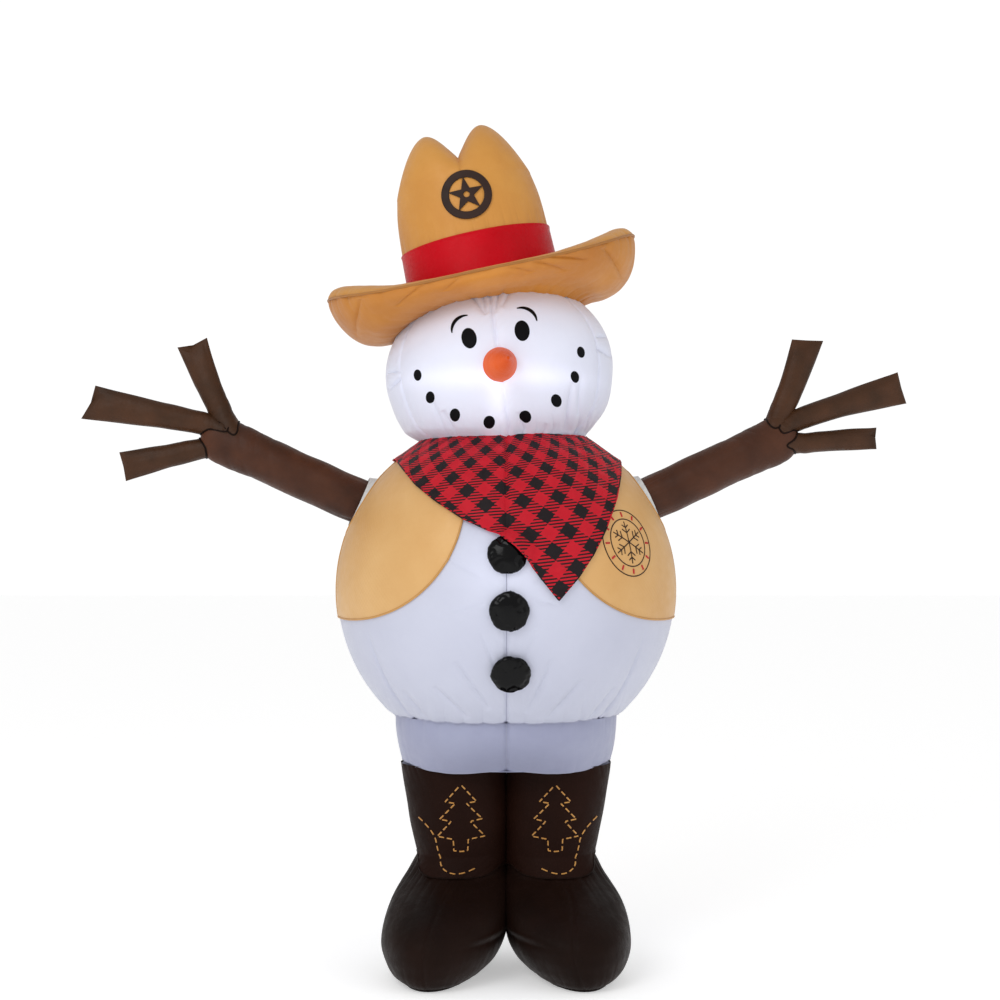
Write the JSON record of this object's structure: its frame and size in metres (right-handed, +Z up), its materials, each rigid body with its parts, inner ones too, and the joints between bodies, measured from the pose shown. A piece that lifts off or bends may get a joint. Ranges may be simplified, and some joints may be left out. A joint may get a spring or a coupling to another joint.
{
  "type": "inflatable yard snowman",
  "caption": "Inflatable standing snowman with a cowboy hat, vest, checked bandana, stick arms and boots, with a built-in blower and inner lamps.",
  "frame": {"origin": "on the floor under the middle of the torso", "axes": "+Z up, the figure faces -Y, its own left is +X"},
  "size_m": [2.0739, 0.8812, 2.1335],
  "materials": {
    "white_fabric": "smooth coated polyester, faint sheen",
    "inner_fabric": "plain coated polyester",
    "hip_fabric": "smooth coated polyester in pale grey",
    "shaft_fabric": "dark brown printed polyester",
    "boot_fabric": "dark brown polyester",
    "sole_fabric": "heavy dark coated fabric",
    "vest_fabric": "tan polyester",
    "badge_fabric": "printed polyester patch",
    "bandana_fabric": "red and black buffalo check polyester",
    "button_satin": "black satin, padded",
    "hat_fabric": "tan polyester",
    "brim_fabric": "tan polyester, underside",
    "hat_band_satin": "red satin",
    "hat_badge_fabric": "dark brown print",
    "arm_fabric": "dark brown polyester",
    "nose_fabric": "orange polyester",
    "face_black": "black printed polyester",
    "black_plastic": "moulded black ABS",
    "motor_metal": "plated steel can",
    "steel": "bright plated steel",
    "cable_white": "white PVC lead",
    "lamp_plastic": "frosted white plastic",
    "zip_tape": "woven zipper tape",
    "zip_coil": "nylon coil",
    "webbing_black": "woven black webbing",
    "brass": "brass eyelet"
  },
  "bodies": {
    "root": {"torso_shell": "white_fabric", "hip_band": "hip_fabric", "hip_floor": "hip_fabric", "left_boot_shaft": "shaft_fabric", "right_boot_shaft": "shaft_fabric", "left_boot_foot": "boot_fabric", "right_boot_foot": "boot_fabric", "left_boot_sole": "sole_fabric", "right_boot_sole": "sole_fabric", "vest_front_left": "vest_fabric", "vest_front_right": "vest_fabric", "vest_back": "vest_fabric", "vest_badge": "badge_fabric", "bandana": "bandana_fabric", "button_top": "button_satin", "button_middle": "button_satin", "button_bottom": "button_satin", "left_shoulder_cuff": "white_fabric", "right_shoulder_cuff": "white_fabric", "neck_gusset": "white_fabric", "blower_collar": "inner_fabric", "blower_ring": "black_plastic", "blower_housing": "black_plastic", "blower_motor": "motor_metal", "intake_grille": "black_plastic", "blower_screws": "steel", "power_inlet": "black_plastic", "led_webbing": "inner_fabric", "led_lead": "cable_white", "led_modules": "lamp_plastic", "zipper_tape": "zip_tape", "zipper_coil": "zip_coil", "tether_loops": "webbing_black", "stake_tabs": "webbing_black", "stake_eyelets": "brass"},
    "impeller": {"impeller": "black_plastic", "motor_shaft": "steel"},
    "zipper_slider": {"zipper_slider": "steel"},
    "zipper_pull": {"zipper_pull": "steel"},
    "head": {"head_shell": "white_fabric", "nose": "nose_fabric", "eyes": "face_black", "eyebrows": "face_black", "mouth_dots": "face_black", "hat_crown": "hat_fabric", "hat_band": "hat_band_satin", "brim_top": "hat_fabric", "brim_underside": "brim_fabric", "hat_badge": "hat_badge_fabric"},
    "left_arm": {"left_arm_trunk": "arm_fabric", "left_twig_upper": "arm_fabric", "left_twig_middle": "arm_fabric", "left_twig_lower": "arm_fabric"},
    "right_arm": {"right_arm_trunk": "arm_fabric", "right_twig_upper": "arm_fabric", "right_twig_middle": "arm_fabric", "right_twig_lower": "arm_fabric"},
    "left_tether_ring": {"left_tether_ring": "steel"},
    "right_tether_ring": {"right_tether_ring": "steel"}
  },
  "joints": [
    {"name": "impeller_spin", "type": "hinge", "parent": "root", "child": "impeller", "pos_m": [0, 0.31115, 0.74794], "axis": [0, 0.8387, -0.5446], "continuous": true},
    {"name": "zipper_slide", "type": "hinge", "parent": "root", "child": "zipper_slider", "pos_m": [0, 0, 0.95], "axis": [-0.788, 0.6157, 0], "range_deg": [0, 23]},
    {"name": "zipper_pull_swing", "type": "hinge", "parent": "zipper_slider", "child": "zipper_pull", "pos_m": [0.26017, 0.33301, 0.83677], "axis": [0.788, -0.6157, 0], "range_deg": [-8, 110]},
    {"name": "head_sway", "type": "hinge", "parent": "root", "child": "head", "pos_m": [0, 0, 1.33], "axis": [0, 1, 0], "range_deg": [-5, 5], "stiffness_Nm_per_rad": 60, "deforming": ["neck_gusset"]},
    {"name": "left_arm_flex", "type": "hinge", "parent": "root", "child": "left_arm", "pos_m": [0.36, 0, 1.179], "axis": [0, 1, 0], "range_deg": [-8, 8], "stiffness_Nm_per_rad": 18},
    {"name": "right_arm_flex", "type": "hinge", "parent": "root", "child": "right_arm", "pos_m": [-0.372, 0, 1.174], "axis": [0, 1, 0], "range_deg": [-8, 8], "stiffness_Nm_per_rad": 18},
    {"name": "left_tether_swing", "type": "hinge", "parent": "root", "child": "left_tether_ring", "pos_m": [0.38515, 0.17148, 0.84488], "axis": [0.4067, -0.9135, 0], "range_deg": [-6, 120]},
    {"name": "right_tether_swing", "type": "hinge", "parent": "root", "child": "right_tether_ring", "pos_m": [-0.38515, 0.17148, 0.84488], "axis": [0.4067, 0.9135, 0], "range_deg": [-6, 120]}
  ]
}
